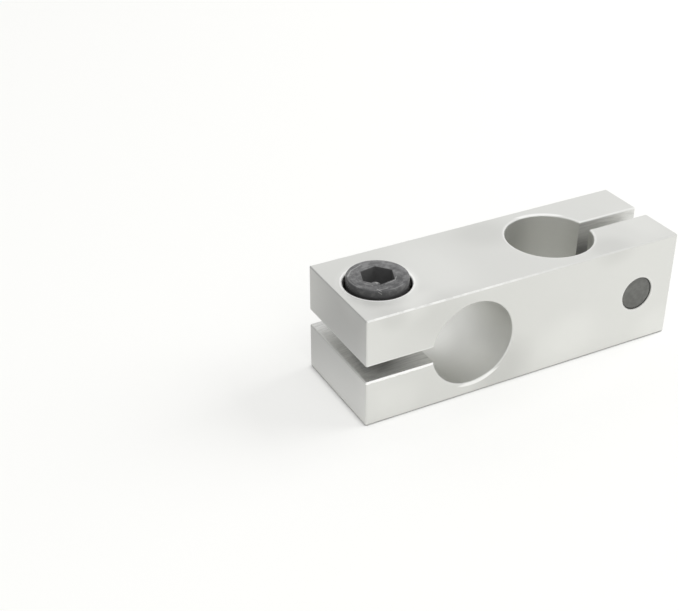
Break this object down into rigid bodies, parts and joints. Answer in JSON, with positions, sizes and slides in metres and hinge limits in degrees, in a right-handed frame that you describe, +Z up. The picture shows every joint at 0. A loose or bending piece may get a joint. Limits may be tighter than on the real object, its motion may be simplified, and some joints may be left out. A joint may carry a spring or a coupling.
{
  "type": "shaft cross clamp",
  "caption": "Square aluminium block with split bores crossing at right angles at its ends, each drawn shut on a round shaft by a socket-head screw.",
  "frame": {"origin": "middle of the base face, the long face that the clamp lies on", "axes": "+X along the block from the level bore to the upright bore, +Y along the level bore towards the rear screw's head, +Z up along the upright bore towards the top screw's head"},
  "size_m": [0.06, 0.0208, 0.0207],
  "materials": {
    "satin_aluminium": "satin clear anodised",
    "black_steel": "black oxide"
  },
  "bodies": {
    "block": {"clamp_block": "satin_aluminium"},
    "top_screw": {"top_clamp_screw": "black_steel"},
    "rear_screw": {"rear_clamp_screw": "black_steel"}
  },
  "joints": [
    {"name": "top_screw_turn", "type": "hinge", "parent": "block", "child": "top_screw", "pos_m": [-0.02275, 0, 0.00975], "axis": [0, 0, 1], "range_deg": [-45, 2880]},
    {"name": "rear_screw_turn", "type": "hinge", "parent": "block", "child": "rear_screw", "pos_m": [0.02275, 0, 0.00975], "axis": [0, 1, 0], "range_deg": [-45, 2880]}
  ]
}
